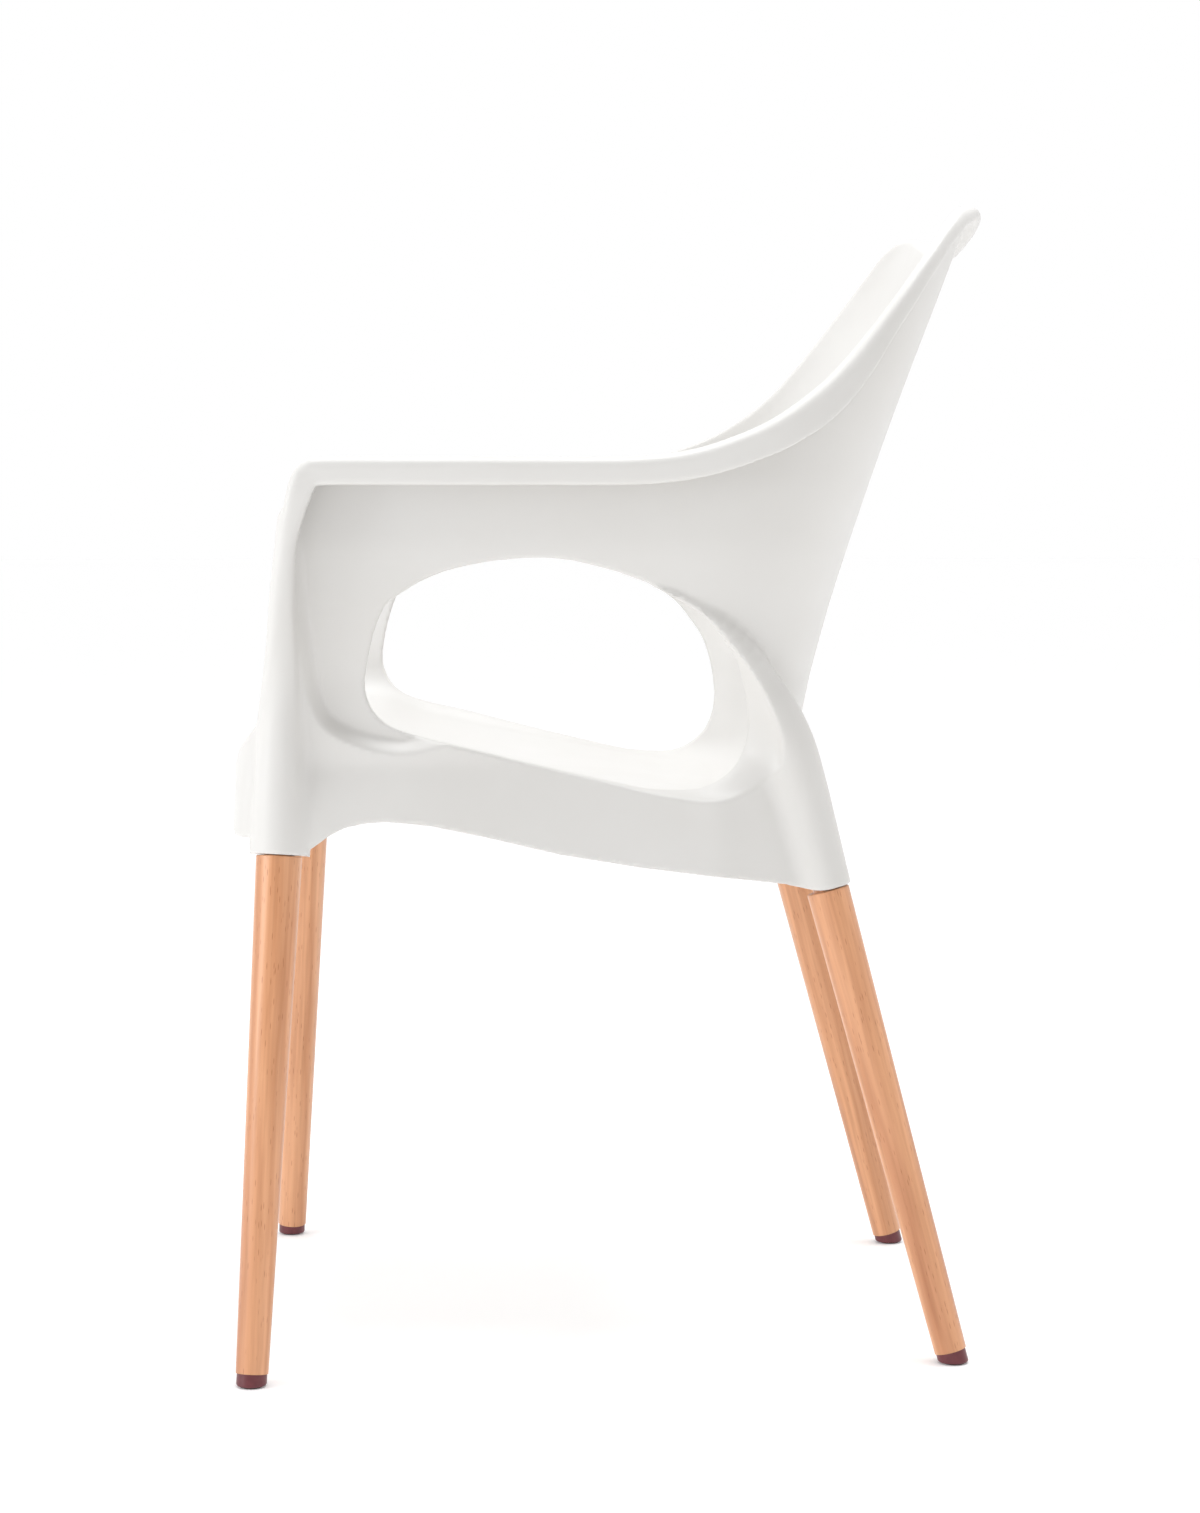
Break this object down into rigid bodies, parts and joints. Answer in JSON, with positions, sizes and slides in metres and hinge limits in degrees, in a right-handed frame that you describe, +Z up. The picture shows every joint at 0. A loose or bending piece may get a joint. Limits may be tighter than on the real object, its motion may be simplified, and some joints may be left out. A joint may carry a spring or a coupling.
{
  "type": "dining armchair",
  "caption": "Armchair with a one-piece white plastic shell, arms with rounded openings, a reclined back with a dipped top, and splayed tapered round wooden legs on floor glides.",
  "frame": {"origin": "on the floor, under the middle of the chair's bounding box", "axes": "+Z up, the sitter faces -Y, +X is the chair's left side; the chair is mirror-symmetric about the YZ plane"},
  "size_m": [0.5824, 0.5686, 0.8601],
  "materials": {
    "white_shell": "satin moulded white",
    "beech": "clear satin varnish on steamed beech",
    "glide_plastic": "dark burgundy moulded",
    "glide_felt": "dark brown felt",
    "zinc_steel": "bright zinc plate",
    "insert_brass": "turned brass"
  },
  "bodies": {
    "root": {"seat_shell": "white_shell", "front_left_leg": "beech", "front_left_glide": "glide_plastic", "front_left_glide_pad": "glide_felt", "front_left_glide_screw": "zinc_steel", "front_left_leg_bolt": "zinc_steel", "front_left_leg_washer": "zinc_steel", "front_left_leg_insert": "insert_brass", "front_right_leg": "beech", "front_right_glide": "glide_plastic", "front_right_glide_pad": "glide_felt", "front_right_glide_screw": "zinc_steel", "front_right_leg_bolt": "zinc_steel", "front_right_leg_washer": "zinc_steel", "front_right_leg_insert": "insert_brass", "rear_left_leg": "beech", "rear_left_glide": "glide_plastic", "rear_left_glide_pad": "glide_felt", "rear_left_glide_screw": "zinc_steel", "rear_left_leg_bolt": "zinc_steel", "rear_left_leg_washer": "zinc_steel", "rear_left_leg_insert": "insert_brass", "rear_right_leg": "beech", "rear_right_glide": "glide_plastic", "rear_right_glide_pad": "glide_felt", "rear_right_glide_screw": "zinc_steel", "rear_right_leg_bolt": "zinc_steel", "rear_right_leg_washer": "zinc_steel", "rear_right_leg_insert": "insert_brass"}
  },
  "joints": []
}
